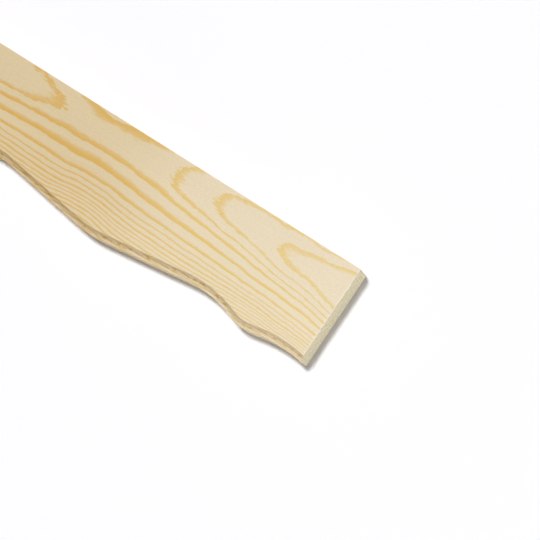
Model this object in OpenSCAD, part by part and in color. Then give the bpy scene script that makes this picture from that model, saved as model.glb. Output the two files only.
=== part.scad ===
// Scalloped pine moulding strip: a flat board with one straight edge and one
// wavy edge, and a hollow moulding run along the top of the wavy edge.
// Lengths are in millimetres. The strip lies flat on its back face.

/* [Board] */
// Length of the strip
board_length = 2400; // [600:50:3000]
// Width from the straight edge to the top of a tall lobe
board_width = 80; // [70:1:140]
// Thickness of the board
board_thickness = 20; // [12:0.5:40]

/* [Wavy edge] */
// Length of one repeat of the wave
repeat_length = 330; // [310:5:420]
// Distance from the +X end to the middle of the first shallow arch
first_arch = 17; // [0:1:80]
// Radius of the tall lobe
tall_lobe_radius = 90; // [60:5:110]
// Radius of the small lobe
small_lobe_radius = 28; // [18:1:32]
// Distance from the middle of the arch to the top of the small lobe
small_lobe_offset = 32; // [29:0.5:36]
// Height of the tall lobe above the small lobe
small_lobe_drop = 3.8; // [3:0.1:5]
// Radius of the valley between the small lobe and the tall lobe
valley_radius = 90; // [60:5:95]
// Distance from the middle of the arch to the bottom of the valley
valley_offset = 72.5; // [71:0.5:80]
// Height of the tall lobe above the bottom of the valley
valley_drop = 10.8; // [10.4:0.1:13]
// Radius of the shallow arch between two small lobes
arch_radius = 105; // [70:5:120]
// Height of the tall lobe above the bottom of the arch
arch_drop = 7.6; // [7.1:0.1:8.5]

/* [Hollow moulding] */
// Radius of the quarter-round hollow along the wavy edge
hollow_radius = 4.5; // [2:0.5:8]

/* [Smoothness] */
// Largest turn of the edge between two neighbouring sections, in degrees
section_turn = 4; // [3:0.5:8]
// Number of flats around the quarter-round hollow
hollow_flats = 6; // [4:1:8]

/* [Hidden] */

half_repeat = repeat_length / 2;

// Which side of an arc its centre lies on
OUTSIDE = 1;
INSIDE = -1;

// The arcs of half a repeat, from the middle of an arch to the middle of a tall
// lobe, as [centre, radius, side of the centre]. X runs along the board and Y
// runs from the straight edge to the wavy edge.
arcs = [
    [[0, board_width - arch_drop + arch_radius], arch_radius, OUTSIDE],
    [[small_lobe_offset, board_width - small_lobe_drop - small_lobe_radius], small_lobe_radius, INSIDE],
    [[valley_offset, board_width - valley_drop + valley_radius], valley_radius, OUTSIDE],
    [[half_repeat, board_width - tall_lobe_radius], tall_lobe_radius, INSIDE]
];
last_arc = len(arcs) - 1;

function arc_centre(i) = arcs[i][0];
function arc_radius(i) = arcs[i][1];
function arc_side(i) = arcs[i][2];

// Direction of the straight run that touches arc i and the arc after it
function run_angle(i) =
    let (
        across = arc_centre(i + 1) - arc_centre(i),
        reach = arc_radius(i) + arc_radius(i + 1)
    )
    atan2(across.y, across.x) + arc_side(i) * asin(reach / norm(across));

// Direction of the edge where each arc starts and where it ends
turns = [0, for (i = [0 : last_arc - 1]) run_angle(i), 0];

// Point of arc i where the edge has the given direction, moved inwards by inset
function arc_point(i, angle, inset = 0) =
    let (radius = arc_side(i) * arc_radius(i) + inset)
    arc_centre(i) + radius * [sin(angle), -cos(angle)];

// Y of the edge at a distance from the middle of the nearest arch, from arc i on
function half_edge_y(distance, inset, i = 0) =
    let (
        centre = arc_centre(i),
        radius = arc_radius(i) + arc_side(i) * inset,
        run_start = arc_point(i, turns[i + 1], inset)
    )
    i == last_arc || distance < run_start.x
        ? centre.y - arc_side(i) * sqrt(radius ^ 2 - (distance - centre.x) ^ 2)
        : distance < arc_point(i + 1, turns[i + 1], inset).x
            ? run_start.y + (distance - run_start.x) * tan(turns[i + 1])
            : half_edge_y(distance, inset, i + 1);

// Y of the wavy edge at a distance x from the cut end, moved inwards by inset
function edge_y(x, inset) =
    let (repeats = (x - first_arch) / repeat_length)
    half_edge_y(abs(repeats - round(repeats)) * repeat_length, inset);

// Distances from the middle of an arch at which half a repeat needs a section
half_sections = [
    for (i = [0 : last_arc])
        let (
            turn = turns[i + 1] - turns[i],
            steps = ceil(abs(turn) / section_turn)
        )
        for (k = [0 : steps]) arc_point(i, turns[i] + turn * k / steps).x
];

// Shortest distance between a cut end and the section beside it
end_gap = 0.5;

// Distances from the cut end of all the sections, the two cut ends included
first_repeat = -ceil(first_arch / repeat_length);
last_repeat = ceil((board_length - first_arch) / repeat_length);
sections = [
    0,
    for (n = [first_repeat : last_repeat])
        let (arch_x = first_arch + n * repeat_length)
        for (x = concat(
            [for (s = half_sections) arch_x + s],
            [for (k = [len(half_sections) - 2 : -1 : 1]) arch_x + repeat_length - half_sections[k]]
        ))
            if (x > end_gap && x < board_length - end_gap) x,
    board_length
];

// Outline of the board in the plane at x: the straight edge, the hollow from the
// top face down to its lip, and the foot of the wavy edge
function section_points(x) = [
    [x, 0, 0],
    [x, 0, board_thickness],
    for (k = [0 : hollow_flats])
        let (angle = 90 * k / hollow_flats)
        [x, edge_y(x, hollow_radius * cos(angle)), board_thickness - hollow_radius * sin(angle)],
    [x, edge_y(x, 0), 0]
];

// Closed skin over a row of outlines that all have the same number of points.
// The first point of an outline sees all its other points.
module skin(outlines) {
    size = len(outlines[0]);
    last = (len(outlines) - 1) * size;
    start_face = [for (k = [0 : size - 1]) (size - k) % size];
    end_face = [for (k = [0 : size - 1]) last + k];
    sides = [
        for (base = [0 : size : last - 1])
            for (k = [0 : size - 1])
                let (next = (k + 1) % size)
                [base + k, base + next, base + size + next, base + size + k]
    ];
    polyhedron(
        points = [for (outline = outlines) each outline],
        faces = concat([start_face, end_face], sides),
        convexity = 10
    );
}

module moulding_strip() {
    color("wheat")
    translate([board_length / 2, board_width / 2, 0])
    rotate([0, 0, 180])
    skin([for (x = sections) section_points(x)]);
}

moulding_strip();
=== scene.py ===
import math

import bpy
import numpy as np
from mathutils import Matrix, Vector

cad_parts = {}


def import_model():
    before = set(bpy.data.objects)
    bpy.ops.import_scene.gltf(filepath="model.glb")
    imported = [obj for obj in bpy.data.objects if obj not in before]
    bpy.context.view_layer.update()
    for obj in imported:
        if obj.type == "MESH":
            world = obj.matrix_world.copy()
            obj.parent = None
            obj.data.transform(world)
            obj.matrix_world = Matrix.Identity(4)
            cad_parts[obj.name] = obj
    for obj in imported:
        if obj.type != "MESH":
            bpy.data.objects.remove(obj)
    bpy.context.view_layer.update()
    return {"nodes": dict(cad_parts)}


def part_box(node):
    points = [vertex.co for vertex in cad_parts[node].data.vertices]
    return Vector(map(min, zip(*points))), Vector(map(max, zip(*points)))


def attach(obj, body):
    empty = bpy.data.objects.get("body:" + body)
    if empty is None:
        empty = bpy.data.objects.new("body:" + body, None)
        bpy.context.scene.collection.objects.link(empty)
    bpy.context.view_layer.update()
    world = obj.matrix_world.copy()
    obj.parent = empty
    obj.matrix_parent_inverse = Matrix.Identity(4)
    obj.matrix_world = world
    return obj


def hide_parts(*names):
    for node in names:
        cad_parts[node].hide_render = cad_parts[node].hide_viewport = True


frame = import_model()

MM = 0.001
NODE = "moulding_strip"
low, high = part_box(NODE)
LENGTH = (high.x - low.x) / MM
WIDTH = (high.y - low.y) / MM
THICKNESS = (high.z - low.z) / MM

# ---------------------------------------------------------------- the wavy edge
# Board coordinates, in millimetres: along from the cut end at +X, across from
# the straight edge, up from the back face.

# Length of one repeat of the wave
REPEAT = 330.0
# Distance from the cut end to the middle of the first shallow arch
FIRST_ARCH = 17.0
# Radius of the hollow along the edge
HOLLOW = 4.5
# Which side of an arc its centre lies on
OUTSIDE, INSIDE = 1.0, -1.0

# The arcs of half a repeat, from the middle of an arch to the middle of a tall lobe:
# (distance from the middle of the arch, drop below the tall lobe, radius, side)
ARCS = [
    (0.0, 7.6, 105.0, OUTSIDE),
    (32.0, 3.8, 28.0, INSIDE),
    (72.5, 10.8, 90.0, OUTSIDE),
    (REPEAT / 2, 0.0, 90.0, INSIDE),
]
LAST_ARC = len(ARCS) - 1
CENTRES = [(x, WIDTH - drop + side * radius) for x, drop, radius, side in ARCS]
RADII = [radius for x, drop, radius, side in ARCS]
SIDES = [side for x, drop, radius, side in ARCS]


def run_angle(i):
    """Direction of the straight run between arc i and the next, in radians."""
    (x0, y0), (x1, y1) = CENTRES[i], CENTRES[i + 1]
    lean = math.asin((RADII[i] + RADII[i + 1]) / math.hypot(x1 - x0, y1 - y0))
    return math.atan2(y1 - y0, x1 - x0) + SIDES[i] * lean


# Direction of the edge where each arc starts, and where the last one ends
TURNS = [0.0] + [run_angle(i) for i in range(LAST_ARC)] + [0.0]


def arc_point(i, angle, inset):
    """Point of arc i, moved inwards by inset, where the edge has this direction."""
    reach = SIDES[i] * RADII[i] + inset
    return CENTRES[i][0] + reach * math.sin(angle), CENTRES[i][1] - reach * math.cos(angle)


def half_edge(distance, inset, i=0):
    """Place across the board and slope of the edge, moved inwards by inset, from arc i on.

    The distance is the one from the middle of the nearest arch.
    """
    centre_x, centre_y = CENTRES[i]
    side = SIDES[i]
    radius = RADII[i] + side * inset
    start_x, start_y = arc_point(i, TURNS[i + 1], inset)
    if i == LAST_ARC or distance < start_x:
        reach = math.sqrt(radius ** 2 - (distance - centre_x) ** 2)
        return centre_y - side * reach, side * (distance - centre_x) / reach
    if distance < arc_point(i + 1, TURNS[i + 1], inset)[0]:
        slope = math.tan(TURNS[i + 1])
        return start_y + (distance - start_x) * slope, slope
    return half_edge(distance, inset, i + 1)


def edge(along, inset):
    """Place across the board and slope of the wavy edge at a place along it, moved inwards."""
    repeats = (along - FIRST_ARCH) / REPEAT
    offset = (repeats - round(repeats)) * REPEAT
    across, slope = half_edge(abs(offset), inset)
    return across, slope if offset >= 0 else -slope


# ---------------------------------------------------------------- the section
# The section is a closed row of points, each with the way its surface faces.
# A point is (from which edge, distance in from it, height, outwards, upwards).

WAVY, STRAIGHT = 0, 1
# Radii of the softened edges: round the top face, at the hollow's lip, at the back, at the ends
TOP_ARRIS, LIP_ARRIS, BACK_ARRIS, END_ARRIS = 0.3, 0.45, 0.5, 0.3
ARRIS_STEPS, HOLLOW_STEPS = 3, 10
# Ways that a surface faces, in degrees above outwards
UPWARDS, OUTWARDS, DOWNWARDS = 90, 0, -90


def arris(edge_of, inset, height, radius, first, last):
    """A rounded corner whose centre is at inset and height, between two angles."""
    found = []
    for k in range(ARRIS_STEPS + 1):
        angle = math.radians(first + (last - first) * k / ARRIS_STEPS)
        out, up = math.cos(angle), math.sin(angle)
        found.append((edge_of, inset - radius * out, height + radius * up, out, up))
    return found


def hollow():
    """The quarter round between the top face's softened edge and the lip's."""
    found = []
    first = math.asin(TOP_ARRIS / HOLLOW)
    last = math.acos(LIP_ARRIS / HOLLOW)
    for k in range(HOLLOW_STEPS + 1):
        angle = first + (last - first) * k / HOLLOW_STEPS
        out, up = math.cos(angle), math.sin(angle)
        found.append((WAVY, HOLLOW * out, THICKNESS - HOLLOW * up, out, up))
    return found


TOP_CENTRE = THICKNESS - TOP_ARRIS
LIP_CENTRE = THICKNESS - HOLLOW - LIP_ARRIS
SECTION = (
    arris(WAVY, HOLLOW + TOP_ARRIS, TOP_CENTRE, TOP_ARRIS, UPWARDS, OUTWARDS)
    + hollow()
    + arris(WAVY, LIP_ARRIS, LIP_CENTRE, LIP_ARRIS, UPWARDS, OUTWARDS)
    + arris(WAVY, BACK_ARRIS, BACK_ARRIS, BACK_ARRIS, OUTWARDS, DOWNWARDS)
    + arris(STRAIGHT, BACK_ARRIS, BACK_ARRIS, BACK_ARRIS, DOWNWARDS, OUTWARDS)
    + arris(STRAIGHT, TOP_ARRIS, TOP_CENTRE, TOP_ARRIS, OUTWARDS, UPWARDS)
)

# ---------------------------------------------------------------- the mesh

# Distance between two sections, and the steps of the softened edges at the sawn ends
STATION = 3.0
END_STEPS = 3
# The frame's X and Y run against along and across
AXES = np.array((-1.0, -1.0, 1.0))

# The map for baked colours is 1 wide and 1 high. Each half of the board has a lane on it. The sawn
# ends lie above the lanes, and a metre of them is CAP_SCALE map widths.
MAP_MARGIN, MAP_SPAN = 0.01, 0.98
LANE_STEP, LANE_HEIGHT = 0.46, 0.44
CAP_SCALE, CAP_BOTTOM = 2.2, 0.94
NEAR_CAP_LEFT, FAR_CAP_LEFT = 0.02, 0.3


def stations():
    """(place along the board, how far the section shrinks there, turn to the end face)."""
    ends = []
    for k in range(END_STEPS):
        turn = math.pi / 2 * (1 - k / END_STEPS)
        ends.append((END_ARRIS * (1 - math.sin(turn)), END_ARRIS * (1 - math.cos(turn)), turn))
    between = LENGTH - 2 * END_ARRIS
    count = int(round(between / STATION))
    middle = [(END_ARRIS + between * k / count, 0.0, 0.0) for k in range(count + 1)]
    far = [(LENGTH - along, shrink, -turn) for along, shrink, turn in reversed(ends)]
    return ends + middle + far


def section_at(along, shrink, turn):
    """The section's points at a station, and the way the surface faces at each."""
    points, facings = [], []
    endwards, sideways = math.sin(turn), math.cos(turn)
    for edge_of, inset, height, out, up in SECTION:
        if edge_of == WAVY:
            across, slope = edge(along, inset + shrink * out)
            lean = math.hypot(1.0, slope)
            facing = (-slope / lean * out, out / lean, up)
        else:
            across, facing = inset + shrink * out, (0.0, -out, up)
        points.append((along, across, height - shrink * up))
        facings.append((facing[0] * sideways - endwards, facing[1] * sideways, facing[2] * sideways))
    return points, facings


def to_frame(points):
    """From board coordinates to the frame's metres."""
    return np.array((high.x, high.y, low.z)) + np.array(points) * AXES * MM


def unroll(rows):
    """Where the corners of the long faces lie on the map."""
    places = np.array(rows)
    outline = places[0][:, 1:]
    steps = np.linalg.norm(np.diff(outline, axis=0, append=outline[:1]), axis=1)
    girth = np.concatenate([[0.0], np.cumsum(steps)])
    girth /= girth[-1]
    half = LENGTH / 2
    found = []
    for j in range(len(rows) - 1):
        lane = 0 if places[j][0, 0] < half else 1
        u = [MAP_MARGIN + MAP_SPAN * (places[i][0, 0] - lane * half) / half for i in (j, j + 1)]
        for k in range(len(SECTION)):
            v = [MAP_MARGIN + LANE_STEP * lane + LANE_HEIGHT * girth[i] for i in (k, k + 1)]
            found += [(u[0], v[0]), (u[1], v[0]), (u[1], v[1]), (u[0], v[1])]
    return found


def cap_places(points, left):
    """Where the corners of a sawn end lie on the map."""
    return [(left + CAP_SCALE * p[1] * MM, CAP_BOTTOM + CAP_SCALE * p[2] * MM) for p in points]


def place_in_scene(name, data):
    """A new object in the scene that shows this mesh, lamp or camera."""
    thing = bpy.data.objects.new(name, data)
    bpy.context.scene.collection.objects.link(thing)
    return thing


def build_board():
    """The board as a row of sections joined by faces, with a flat face at each sawn end."""
    rows, facings = zip(*(section_at(*station) for station in stations()))
    size = len(SECTION)
    last = (len(rows) - 1) * size
    vertices = to_frame([point for row in rows for point in row])
    normals = np.array([facing for row in facings for facing in row]) * AXES
    faces = []
    for base in range(0, last, size):
        for k in range(size):
            after = (k + 1) % size
            faces.append((base + k, base + size + k, base + size + after, base + after))
    near_cap = list(range(size))
    far_cap = [last + k for k in reversed(range(size))]
    mesh = bpy.data.meshes.new("pine_board")
    mesh.from_pydata(vertices.tolist(), [], faces + [near_cap, far_cap])
    places = unroll(rows) + cap_places(rows[0], NEAR_CAP_LEFT) + cap_places(rows[-1][::-1], FAR_CAP_LEFT)
    layer = mesh.uv_layers.new(name="OFBake")
    layer.uv.foreach_set("vector", np.array(places, np.float32).ravel())
    mesh.shade_smooth()
    mesh.normals_split_custom_set_from_vertices(normals.tolist())
    mesh.validate()
    return place_in_scene("pine_moulding", mesh)


# ---------------------------------------------------------------- node helpers

# Curves along the board have the input along / (along + BEND), for more detail near the cut end
BEND = 400.0
# Lowest and highest value of a noise texture, apart from rare peaks
NOISE_RANGE = (0.25, 0.75)
# The Mix node's sockets for colours
MIX_FIRST, MIX_SECOND, MIX_RESULT = 6, 7, 2


class Graph:
    """Short ways to add and join shader nodes."""

    def __init__(self, tree):
        self.tree = tree
        tree.nodes.clear()

    def add(self, kind, **settings):
        node = self.tree.nodes.new(kind)
        for name, value in settings.items():
            setattr(node, name, value)
        return node

    def put(self, value, socket):
        """Join an output to a socket, or set the socket's own value."""
        if isinstance(value, bpy.types.NodeSocket):
            self.tree.links.new(value, socket)
        else:
            socket.default_value = value

    def fill(self, node, *values):
        """Put values into a node's first sockets, and give its first output."""
        for value, socket in zip(values, node.inputs):
            self.put(value, socket)
        return node.outputs[0]

    def math(self, operation, *values, clamp=False):
        return self.fill(self.add("ShaderNodeMath", operation=operation, use_clamp=clamp), *values)

    def plus(self, first, *others):
        for other in others:
            first = self.math("ADD", first, other)
        return first

    def minus(self, first, second):
        return self.math("SUBTRACT", first, second)

    def times(self, first, *others):
        for other in others:
            first = self.math("MULTIPLY", first, other)
        return first

    def vector(self, operation, *values):
        return self.fill(self.add("ShaderNodeVectorMath", operation=operation), *values)

    def scale(self, vector, factor):
        node = self.add("ShaderNodeVectorMath", operation="SCALE")
        self.put(factor, node.inputs["Scale"])
        return self.fill(node, vector)

    def split(self, vector):
        """The X, Y and Z of a vector."""
        node = self.add("ShaderNodeSeparateXYZ")
        self.put(vector, node.inputs[0])
        return node.outputs

    def remap(self, value, from_low, from_high, to_low=0.0, to_high=1.0, kind="LINEAR"):
        """A ramp: to_low up to the input from_low, and to_high from the input from_high on."""
        node = self.add("ShaderNodeMapRange", interpolation_type=kind)
        return self.fill(node, value, from_low, from_high, to_low, to_high)

    def between(self, share, first, second):
        """From first to second as the share goes from 0 to 1."""
        return self.remap(share, 0.0, 1.0, first, second)

    def swing(self, noise, lowest, highest):
        """From lowest to highest as the noise goes from -1 to 1."""
        return self.remap(noise, -1.0, 1.0, lowest, highest)

    def noise(self, place, grain, detail, roughness=0.5):
        """Noise from -1 to 1, whose patches are grain millimetres along, across and deep."""
        node = self.add("ShaderNodeTexNoise", noise_dimensions="3D")
        self.put(self.vector("DIVIDE", place, grain), node.inputs["Vector"])
        node.inputs["Scale"].default_value = 1.0
        node.inputs["Detail"].default_value = detail
        node.inputs["Roughness"].default_value = roughness
        return self.remap(node.outputs["Fac"], *NOISE_RANGE, -1.0, 1.0)

    def curve(self, value, points, reach, peak=1.0, straight=False):
        """A curve through (input, output) points, with inputs up to reach and outputs up to peak."""
        node = self.add("ShaderNodeFloatCurve")
        line = node.mapping.curves[0]
        node.mapping.use_clip = False
        while len(line.points) < len(points):
            line.points.new(0.5, 0.5)
        for point, (x, y) in zip(line.points, points):
            point.location = (x / reach, y / peak)
            point.handle_type = "VECTOR" if straight else "AUTO_CLAMPED"
        node.mapping.update()
        self.put(self.math("DIVIDE", value, reach), node.inputs["Value"])
        return self.times(node.outputs[0], peak)

    def curve_along(self, bent, points, peak=1.0):
        """A curve through (millimetres along the board, output) points."""
        return self.curve(bent, [(x / (x + BEND), y) for x, y in points], 1.0, peak)

    def mix(self, share, first, second, blend="MIX"):
        node = self.add("ShaderNodeMix", data_type="RGBA", blend_type=blend)
        self.put(share, node.inputs["Factor"])
        self.put(first, node.inputs[MIX_FIRST])
        self.put(second, node.inputs[MIX_SECOND])
        return node.outputs[MIX_RESULT]

    def output(self, kind, surface):
        """The node that ends a material or the world."""
        self.put(surface, self.add(kind).inputs["Surface"])


def new_material(name):
    """A material, and the graph that its nodes go into."""
    material = bpy.data.materials.new(name)
    material.use_nodes = True
    return material, Graph(material.node_tree)


# ---------------------------------------------------------------- growth rings
# Everything here is in millimetres, apart from shares. A ramp is (input where it starts, input
# where it ends, output before it, output after it), and goes from 0 to 1 if it has no outputs.
# A noise is (size of its patches along, across and deep, detail, roughness). A curve's outputs
# are below its peak, which is 1 if it isn't named.

# How far across the board the pith of the log lies, along the board
PITH_ACROSS = [
    (0, 18.8), (20, 17.6), (40, 16.9), (60, 15.9), (75, 13.4), (90, 12.2), (113, 11.6),
    (140, 12), (170, 13.2), (205, 13.5), (225, 14.3), (250, 13.4), (310, 12.2), (420, 15),
    (600, 22), (800, 30), (1050, 27), (1300, 34), (1600, 41), (1900, 36), (2150, 28), (2400, 31),
]
# How far above the top face it lies, along the board
PITH_ABOVE = [
    (0, 17.8), (20, 20.2), (40, 21.15), (50, 21.6), (58, 22.15), (66, 22.4), (80, 22.6),
    (100, 23.4), (113, 24.5), (120, 24.95), (139, 26.35), (150, 27.4), (160, 28.05),
    (175, 28.3), (195, 28.4), (225, 28.45), (240, 28.3), (250, 27.9), (260, 27.4),
    (275, 26.8), (300, 25.9), (320, 25.2), (400, 20), (520, 17), (680, 21), (850, 26),
    (1050, 22), (1250, 16), (1500, 24), (1750, 31), (1950, 27), (2150, 20), (2400, 25),
]
PITH_PEAK = 50.0

# Towards the straight edge the rings are wider than circles, from this distance beside the pith
STRETCH_FROM = 7.0
# The share by which they are wider there, or below 0 narrower, along the board
STRETCH = [
    (0, 0.2), (25, 0.2), (40, 0.28), (60, 0.37), (70, 0.3), (80, 0.1), (92, 0.06), (102, 0.1),
    (113, 0.2), (145, 0.2), (168, 0.06), (184, 0.0), (199, -0.07), (205, -0.28), (211, -0.36),
    (219, -0.12), (225, 0.1), (231, 0.25), (240, 0.42), (255, 0.55), (300, 0.5), (400, 0.2),
    (2400, 0.2),
]
# Within this distance of the pith's line the rings are flatter than circles
BLUNT_REACH = 6.0
# How much flatter, along the board
BLUNT_BY = [
    (0, 0.4), (58, 0.4), (85, 0.6), (110, 0.7), (150, 0.7), (172, 0.3), (235, 0.2), (280, 0.2),
    (400, 0.5), (2400, 0.5),
]
# How far beside the pith's line the tips of the arches turn into their sides
ARCH_SIDES = (4.0, 14.0)

# The rings waver by this much on the pith's line and beside it
WAVER = ((18, 8, 8), 2.0, 0.6)
WAVER_ON_LINE, WAVER_BESIDE = 0.2, 0.42
# Single fibres shift the rings by this much, which gives the arches their teeth: on the pith's line
# by a ramp over its height above the face, and beside it
TEETH = ((6, 1.0, 1.0), 0.5)
TEETH_ON_LINE, TEETH_BESIDE = (21.0, 28.0, 0.14, 0.30), 0.16

# How far the sides of the middle rings bulge out, along the board
BULGE = [
    (0, 0.0), (40, 0.1), (66, 1.1), (88, 1.5), (110, 1.6), (150, 1.5), (168, 0.8), (200, 0.1),
    (250, 0.0), (277, 0.8), (300, 1.0), (500, 0.6), (900, 0.2), (1400, 1.0), (2000, 0.3), (2400, 0.6),
]
BULGE_PEAK = 2.0
# The share of the bulge that each ring has, by its radius: the product of both ramps
BULGE_RISE, BULGE_FALL = (27.0, 35.0, 0.15, 1.0), (38.0, 48.0, 1.0, 0.45)

# How many times wider the outer rings are, along the board, and how far out they begin
SWELL = [
    (0, 1.0), (25, 1.04), (50, 1.06), (80, 1.28), (100, 1.39), (125, 1.46), (150, 1.46),
    (168, 1.43), (180, 1.36), (190, 1.33), (205, 1.34), (245, 1.47), (285, 1.4), (400, 1.3),
    (800, 1.15), (1300, 1.3), (1800, 1.1), (2400, 1.25),
]
SWELL_PEAK = 2.0
SWELL_FROM = 30.6

# Where each ring ends, from the pith
RING_ENDS = [
    0, 6, 10, 14, 18, 22.5, 25.2, 28.1, 31, 35.1, 39.7, 42.5, 44.8, 47.1, 49, 50.4,
    52.2, 54.1, 56, 58.4, 61, 63.2, 65, 67.5, 70, 72.5, 75, 77.5, 80, 83, 86, 90,
]
RINGS_REACH = float(RING_ENDS[-1])
RING_COUNT = float(len(RING_ENDS) - 1)


def ring_distance(g, place, along, across, deep, bent):
    """Distance from the pith on the scale of RING_ENDS, and distance beside the pith's line."""
    pith_above = g.curve_along(bent, PITH_ABOVE, PITH_PEAK)
    beside = g.minus(across, g.curve_along(bent, PITH_ACROSS, PITH_PEAK))
    beyond = g.math("MINIMUM", g.plus(beside, STRETCH_FROM), 0.0)
    beside = g.minus(beside, g.times(beyond, g.curve_along(bent, STRETCH)))
    upwards = g.plus(pith_above, deep)
    squared = g.times(beside, beside)
    radius = g.math("SQRT", g.plus(squared, g.times(upwards, upwards)))
    blunt = g.math("EXPONENT", g.math("DIVIDE", squared, -BLUNT_REACH ** 2))
    radius = g.plus(radius, g.times(blunt, g.curve_along(bent, BLUNT_BY)))

    at_side = g.remap(g.math("ABSOLUTE", beside), *ARCH_SIDES)
    waver = g.times(g.noise(place, *WAVER), g.between(at_side, WAVER_ON_LINE, WAVER_BESIDE))
    shift = g.between(at_side, g.remap(pith_above, *TEETH_ON_LINE), TEETH_BESIDE)
    teeth = g.times(g.noise(place, *TEETH), shift)
    radius = g.plus(waver, teeth, radius)

    bulging = g.times(g.remap(radius, *BULGE_RISE), g.remap(radius, *BULGE_FALL), at_side)
    radius = g.minus(radius, g.times(g.curve_along(bent, BULGE, BULGE_PEAK), bulging))
    outer = g.math("MAXIMUM", g.minus(radius, SWELL_FROM), 0.0)
    outer = g.math("DIVIDE", outer, g.curve_along(bent, SWELL, SWELL_PEAK))
    return g.plus(g.math("MINIMUM", radius, SWELL_FROM), outer), beside


# ---------------------------------------------------------------- latewood

# The share of each ring that is latewood at the cut end, from the pith
LATE_SHARE = [
    (0, 0.2), (18, 0.14), (22.5, 0.2), (25.2, 0.3), (28.1, 0.33), (29.6, 0.43), (31, 0.44),
    (33, 0.42), (35.1, 0.44), (39.7, 0.34), (42.5, 0.42), (48, 0.5), (90, 0.52),
]
# How many times wider the latewood of the middle rings is, along the board
LATE_WIDTH = [
    (0, 1.0), (60, 1.0), (110, 1.15), (150, 1.3), (175, 1.35), (200, 1.65), (215, 1.7), (240, 1.5),
    (262, 1.2), (300, 1.15), (500, 1.1), (900, 1.5), (1500, 1.1), (2400, 1.4),
]
LATE_WIDTH_PEAK = 2.0
# The share of this widening that each ring has, from the pith
LATE_WIDENED = [
    (0, 0.0), (24, 0.0), (28, -0.3), (29.5, 0.4), (31, 0.4), (33, 1.0), (36, 1.0), (38, 0.2),
    (40, 0.1), (90, 0.0),
]
# How much wider, or below 0 narrower, the latewood is on the straight edge's side, along the board
LOPSIDED = [
    (0, 0.0), (120, 0.0), (168, 0.0), (193, 0.5), (215, 0.45), (233, 0.08), (250, -0.22),
    (280, -0.4), (450, 0.0), (2400, 0.0),
]
# That side, by the distance beside the pith's line, which is below 0 there
LOPSIDED_SIDE = (-6.0, 0.0, 1.0, 0.0)
# How much wider it is in the inner rings near the cut end: the product of both ramps
INNER_WIDER, INNER_RINGS = (6.0, 32.0, 0.85, 0.0), (22.5, 23.5, 1.0, 0.0)
# How it darkens from its start to its end
LATEWOOD = [(0.0, 0.0), (0.15, 0.16), (0.38, 0.62), (0.65, 0.9), (1.0, 1.0)]
# How it clears in the first part of the next ring
CLEARING = (0.0, 0.05, 0.7, 0.0)
# How strong it is, from the pith
STRENGTH = [
    (0, 0.5), (14, 0.5), (22.5, 0.8), (28, 0.85), (31, 0.95), (35.1, 1.0), (39.7, 0.95),
    (42.5, 0.72), (47.1, 0.9), (50, 0.72), (54, 0.85), (60, 0.75), (66, 0.9), (75, 0.7), (90, 0.8),
]


def latewood(g, along, bent, grown, beside):
    """How dark the latewood is, from 0 in the earlywood to 1."""
    rings = [(end, k) for k, end in enumerate(RING_ENDS)]
    into_ring = g.math("FRACT", g.curve(grown, rings, RINGS_REACH, RING_COUNT, straight=True))
    widening = g.minus(g.curve_along(bent, LATE_WIDTH, LATE_WIDTH_PEAK), 1.0)
    widening = g.plus(1.0, g.times(widening, g.curve(grown, LATE_WIDENED, RINGS_REACH)))
    lopsided = g.times(g.remap(beside, *LOPSIDED_SIDE), g.curve_along(bent, LOPSIDED))
    inner = g.times(g.remap(along, *INNER_WIDER), g.remap(grown, *INNER_RINGS))
    width = g.times(g.curve(grown, LATE_SHARE, RINGS_REACH), widening)
    width = g.times(width, g.plus(1.0, lopsided), g.plus(1.0, inner))
    into_late = g.math("DIVIDE", g.minus(into_ring, g.minus(1.0, width)), width, clamp=True)
    dark = g.math("MAXIMUM", g.curve(into_late, LATEWOOD, 1.0), g.remap(into_ring, *CLEARING))
    return g.math("MULTIPLY", dark, g.curve(grown, STRENGTH, RINGS_REACH), clamp=True)


# ---------------------------------------------------------------- pine

# Fine streaks along the fibres, and how strong they leave the latewood
STREAKS = ((30, 0.7, 0.7), 3.0, 0.6)
STREAKS_ON_LATE = (0.8, 1.1)
# The latewood is a little weaker near the cut end
NEAR_END_LATE = (30.0, 90.0, 0.91, 1.0)
# How tan the wood is, along the board
TAN = [(0, 0.0), (120, 0.3), (300, 1.0), (600, 0.8), (1000, 0.4), (1500, 0.7), (2000, 0.3), (2400, 0.6)]
PALE_EARLYWOOD, TAN_EARLYWOOD = (0.84, 0.715, 0.515, 1), (0.695, 0.55, 0.325, 1)
PALE_LATEWOOD, TAN_LATEWOOD = (0.785, 0.56, 0.135, 1), (0.65, 0.37, 0.054, 1)
# Cloudy and mottled tone, and how far each noise moves the tone
CLOUDS = ((160, 30, 30), 2.0)
MOTTLE = ((2.2, 1.2, 1.2), 2.0, 0.7)
STREAK_TONE, CLOUD_TONE, MOTTLE_TONE = 0.03, 0.02, 0.05

# Where the hollow is, by depth below the top face, and where painted shade darkens it further down
HOLLOW_TOP, HOLLOW_FOOT = (0.3, 1.4), (HOLLOW - 0.7, HOLLOW, 1.0, 0.0)
HOLLOW_SHADE_DEPTH = (1.0, 2.8)
# Painted shade in the hollow, multiplied into its colour
HOLLOW_PAINTED_SHADE = (0.82, 0.80, 0.80, 1)
# Flecks of torn grain lie where this noise is high, in the hollow's lower part
FLECKS = ((4.5, 1.8, 1.3), 1.0)
FLECK_SHARE, FLECK_DEPTH = (0.26, 0.44, 0.0, 0.9), (2.2, 2.9)
FLECK_TINT = (0.77, 0.61, 0.36, 1)
# The wall below the hollow is greyer: duller routed wood, and painted shade
WALL_DULL_AND_SHADE_SHARE = (HOLLOW, HOLLOW + 1.5, 0.0, 0.25)
WALL_DULL_AND_SHADE_COLOR = (0.66, 0.61, 0.54, 1)

# The sawn ends are where the surface faces along the board, by the X of its normal
SAWN = (0.8, 0.97)
END_COLOR, END_SHADE = (0.77, 0.685, 0.485, 1), (0.57, 0.475, 0.29, 1)
# How dark the latewood is there
END_LATE = 0.6
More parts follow.
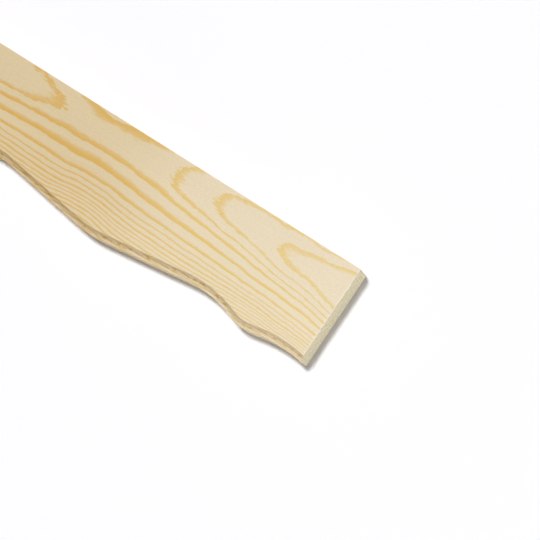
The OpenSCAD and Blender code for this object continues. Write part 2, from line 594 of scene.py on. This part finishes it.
# Their open pores speckle the tone and, in larger patches, the hue
SPECKLE = ((1.1, 1.3, 3.0), 2.0, 0.8)
SPECKLE_TONE = (0.77, 1.23)
HUES = ((1.8, 1.6, 2.2), 1.5, 0.7)
WARM_SPECK, COOL_SPECK = (1.0, 0.985, 0.82, 1), (1.0, 1.015, 1.16, 1)
# They are paler towards the back face: painted light that lifts the shade near the floor
FOOT_PAINTED_LIGHT_SHARE = (THICKNESS - 3.5, THICKNESS, 0.0, 0.5)
FOOT_PAINTED_LIGHT_COLOR = (0.93, 0.88, 0.74, 1)
# The top edge of the cut end has a painted highlight, pale where its arris catches the light
ARRIS_HIGHLIGHT_ALONG, ARRIS_HIGHLIGHT_DEEP = (0.15, 0.9, 0.8, 0.0), (0.1, 0.4, 1.0, 0.0)
ARRIS_HIGHLIGHT_COLOR = (0.93, 0.85, 0.66, 1)

# Roughness of the planed faces, what a sawn or routed surface adds, and what latewood takes off
PLANED_ROUGHNESS = (0.52, 0.62)
CUT_ROUGHNESS, LATE_SMOOTHNESS = 0.25, 0.08
SPECULAR = 0.2
# Where the long faces count as routed, by depth below the top face
ROUTED_DEEP = (0.2, 1.0)
# Heights of the fibres, of the sawn pores and of the latewood's ridges
FIBRES = ((14, 0.35, 0.35), 3.0, 0.6)
PORES = ((0.5, 0.5, 0.5), 3.0, 0.7)
FIBRE_HEIGHT, PORE_HEIGHT, LATE_HEIGHT = 0.02, 0.10, 0.02


def long_face_colour(g, place, across, deep, tan, late, streaks):
    """Colour of the faces that run along the board, with painted shade in the hollow, and the wall below
    it greyed by duller routed wood and painted shade.
    """
    early_colour = g.mix(tan, PALE_EARLYWOOD, TAN_EARLYWOOD)
    colour = g.mix(late, early_colour, g.mix(tan, PALE_LATEWOOD, TAN_LATEWOOD))
    wavy_side = g.math("GREATER_THAN", across, WIDTH / 2)
    in_hollow = g.times(g.remap(deep, *HOLLOW_TOP), g.remap(deep, *HOLLOW_FOOT), wavy_side)
    # Painted shade: the hollow darkens towards its foot
    colour = g.mix(g.times(in_hollow, g.remap(deep, *HOLLOW_SHADE_DEPTH)), colour, HOLLOW_PAINTED_SHADE, "MULTIPLY")
    flecks = g.remap(g.noise(place, *FLECKS), *FLECK_SHARE)
    flecks = g.times(flecks, g.remap(deep, *FLECK_DEPTH), in_hollow)
    colour = g.mix(flecks, colour, FLECK_TINT, "MULTIPLY")
    # The wall greys with duller routed wood and painted shade
    colour = g.mix(g.times(g.remap(deep, *WALL_DULL_AND_SHADE_SHARE), wavy_side), colour, WALL_DULL_AND_SHADE_COLOR)
    tone = g.plus(g.times(streaks, STREAK_TONE), g.times(g.noise(place, *CLOUDS), CLOUD_TONE))
    tone = g.plus(tone, g.times(g.noise(place, *MOTTLE), MOTTLE_TONE), 1.0)
    return g.scale(colour, tone)


def sawn_colour(g, place, late):
    """Colour of the sawn ends."""
    colour = g.mix(g.times(late, END_LATE), END_COLOR, END_SHADE)
    hue = g.swing(g.noise(place, *HUES), 0.0, 1.0)
    colour = g.mix(1.0, colour, g.mix(hue, WARM_SPECK, COOL_SPECK), "MULTIPLY")
    return g.scale(colour, g.swing(g.noise(place, *SPECKLE), *SPECKLE_TONE))


def pine():
    """Bare pine with growth rings, planed on top, routed along its edges and sawn at its ends."""
    material, g = new_material("pine")
    coordinates = g.add("ShaderNodeTexCoord").outputs
    from_corner = g.vector("SUBTRACT", tuple(high), coordinates["Object"])
    place = g.vector("MULTIPLY", from_corner, (1 / MM, 1 / MM, 1 / MM))
    along, across, deep = g.split(place)
    bent = g.math("DIVIDE", along, g.plus(along, BEND))

    grown, beside = ring_distance(g, place, along, across, deep, bent)
    late = latewood(g, along, bent, grown, beside)
    streaks = g.noise(place, *STREAKS)
    face_late = g.math("MULTIPLY", late, g.swing(streaks, *STREAKS_ON_LATE), clamp=True)
    face_late = g.times(face_late, g.remap(along, *NEAR_END_LATE))
    endwards = g.math("ABSOLUTE", g.split(coordinates["Normal"])[0])
    sawn = g.remap(endwards, *SAWN, kind="SMOOTHSTEP")

    tan = g.curve_along(bent, TAN)
    face_colour = long_face_colour(g, place, across, deep, tan, face_late, streaks)
    colour = g.mix(sawn, face_colour, sawn_colour(g, place, late))
    # Painted light: the sawn ends grow paler towards the back face
    colour = g.mix(g.times(sawn, g.remap(deep, *FOOT_PAINTED_LIGHT_SHARE)), colour, FOOT_PAINTED_LIGHT_COLOR)
    # Painted highlight along the cut end's top edge
    arris_highlight = g.times(g.remap(along, *ARRIS_HIGHLIGHT_ALONG), g.remap(deep, *ARRIS_HIGHLIGHT_DEEP))
    colour = g.mix(arris_highlight, colour, ARRIS_HIGHLIGHT_COLOR)

    cut = g.math("MAXIMUM", sawn, g.remap(deep, *ROUTED_DEEP))
    roughness = g.plus(g.swing(streaks, *PLANED_ROUGHNESS), g.times(cut, CUT_ROUGHNESS))
    roughness = g.minus(roughness, g.times(face_late, LATE_SMOOTHNESS))
    fibres = g.times(g.noise(place, *FIBRES), FIBRE_HEIGHT)
    pores = g.times(g.noise(place, *PORES), sawn, PORE_HEIGHT)
    bump = g.add("ShaderNodeBump")
    bump.inputs["Strength"].default_value = 1.0
    bump.inputs["Distance"].default_value = MM
    g.put(g.plus(fibres, pores, g.times(face_late, LATE_HEIGHT)), bump.inputs["Height"])

    shader = g.add("ShaderNodeBsdfPrincipled")
    g.put(colour, shader.inputs["Base Color"])
    g.put(roughness, shader.inputs["Roughness"])
    shader.inputs["Specular IOR Level"].default_value = SPECULAR
    g.put(bump.outputs[0], shader.inputs["Normal"])
    g.output("ShaderNodeOutputMaterial", shader.outputs[0])
    return material


# ---------------------------------------------------------------- the piece

board = build_board()
pine_material = pine()
board.data.materials.append(pine_material)
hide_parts(NODE)
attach(board, "root")
cad = frame["nodes"][NODE]
if not cad.material_slots:
    cad.data.materials.append(pine_material)
for slot in cad.material_slots:
    slot.material = pine_material

# ---------------------------------------------------------------- the studio

WHITE = (1, 1, 1, 1)
FLOOR_REACH = 60.0
# The floor's colour for the light that it throws back, and as it is seen
FLOOR_COLOR, FLOOR_SEEN = (0.86, 0.86, 0.88, 1), (0.99, 0.98, 1.0, 1)
# Glow that the camera sees on the floor
FLOOR_LIFT = 0.02

# Strength and colour of the sky's light
AMBIENT = 0.24
SKY_COLOR = (0.95, 0.98, 1.06, 1)
# The share of it that is left towards +X, and the X of the direction over which it falls off
SKY_AT_END = 0.3
TOWARDS_END = (0.1, 0.7)

# The overhead light's azimuth and elevation, its strength, and how wide it looks, in degrees
OVERHEAD_PLACE = (146, 75.3)
OVERHEAD_STRENGTH = 2.53
OVERHEAD_WIDTH = 12
# The softbox's place from the middle of the cut end's top edge, and its size, in metres, and power
SOFTBOX_PLACE = (1.9, -0.72, 0.045)
SOFTBOX_SIZE = (0.67, 0.09)
SOFTBOX_POWER = 20.5


def seen_directly(g):
    """1 for what the camera sees, also by reflection or through glass, and 0 for other light."""
    path = g.add("ShaderNodeLightPath").outputs
    seen = g.math("MAXIMUM", path["Is Camera Ray"], path["Is Glossy Ray"])
    return g.math("MAXIMUM", seen, path["Is Transmission Ray"])


def floor_material():
    material, g = new_material("studio_white")
    seen = seen_directly(g)
    shader = g.add("ShaderNodeBsdfDiffuse")
    g.put(g.mix(seen, FLOOR_COLOR, FLOOR_SEEN), shader.inputs["Color"])
    lift = g.add("ShaderNodeEmission")
    g.put(g.times(seen, FLOOR_LIFT), lift.inputs["Strength"])
    both = g.fill(g.add("ShaderNodeAddShader"), shader.outputs[0], lift.outputs[0])
    g.output("ShaderNodeOutputMaterial", both)
    return material


def floor():
    mesh = bpy.data.meshes.new("studio_floor")
    square = [(-1, -1), (1, -1), (1, 1), (-1, 1)]
    corners = [(FLOOR_REACH * x, FLOOR_REACH * y, low.z) for x, y in square]
    mesh.from_pydata(corners, [], [(0, 1, 2, 3)])
    mesh.materials.append(floor_material())
    plane = place_in_scene("studio_floor", mesh)


def world():
    studio = bpy.data.worlds.new("studio")
    bpy.context.scene.world = studio
    studio.use_nodes = True
    g = Graph(studio.node_tree)
    seen = seen_directly(g)
    towards_end = g.split(g.add("ShaderNodeTexCoord").outputs["Generated"])[0]
    ambient = g.remap(towards_end, *TOWARDS_END, AMBIENT, AMBIENT * SKY_AT_END)
    sky = g.add("ShaderNodeBackground")
    g.put(g.mix(seen, SKY_COLOR, WHITE), sky.inputs["Color"])
    g.put(g.between(seen, ambient, 1.0), sky.inputs["Strength"])
    g.output("ShaderNodeOutputWorld", sky.outputs[0])


def direction(azimuth, elevation):
    """From the part towards a point at this azimuth from +X to +Y, and elevation, in degrees."""
    a, e = math.radians(azimuth), math.radians(elevation)
    return Vector((math.cos(a) * math.cos(e), math.sin(a) * math.cos(e), math.sin(e)))


def lamp(name, kind, strength, towards):
    """A lamp at the origin that shines in this direction."""
    holder = place_in_scene(name, bpy.data.lights.new(name, kind))
    holder.data.energy = strength
    holder.rotation_euler = towards.to_track_quat("-Z", "Y").to_euler()
    return holder


def lights():
    overhead = lamp("overhead_light", "SUN", OVERHEAD_STRENGTH, -direction(*OVERHEAD_PLACE))
    overhead.data.angle = math.radians(OVERHEAD_WIDTH)
    end = Vector((high.x, 0, high.z))
    place = end + Vector(SOFTBOX_PLACE)
    softbox = lamp("end_softbox", "AREA", SOFTBOX_POWER, end - place)
    softbox.data.shape = "RECTANGLE"
    softbox.data.size, softbox.data.size_y = SOFTBOX_SIZE
    softbox.location = place
    softbox.visible_camera = False


# The camera looks down on the cut end. It aims at a point of the top face, in millimetres along
# and across the board, from a distance in metres.
AIM_ALONG, AIM_ACROSS = 53.0, 33.2
CAMERA_DISTANCE = 1.248
# Angles in degrees, lens and sensor in millimetres, and nearest and furthest view in metres
CAMERA_AZIMUTH, CAMERA_ELEVATION, CAMERA_ROLL = -10.74, 70.47, -45.96
LENS, SENSOR = 123.07, 36.0
CLIP = (0.01, 200.0)


def camera():
    aim = Vector((high.x - AIM_ALONG * MM, high.y - AIM_ACROSS * MM, high.z))
    outwards = direction(CAMERA_AZIMUTH, CAMERA_ELEVATION)
    side = Vector((0, 0, 1)).cross(outwards).normalized()
    up = outwards.cross(side)
    roll = Matrix.Rotation(math.radians(CAMERA_ROLL), 3, outwards)
    turn = Matrix((roll @ side, roll @ up, outwards)).transposed().to_4x4()
    holder = place_in_scene("camera", bpy.data.cameras.new("camera"))
    holder.data.lens, holder.data.sensor_width = LENS, SENSOR
    holder.data.clip_start, holder.data.clip_end = CLIP
    holder.matrix_world = Matrix.Translation(aim + outwards * CAMERA_DISTANCE) @ turn
    bpy.context.scene.camera = holder


floor()
world()
lights()
camera()
bpy.context.scene.view_settings.view_transform = "Standard"
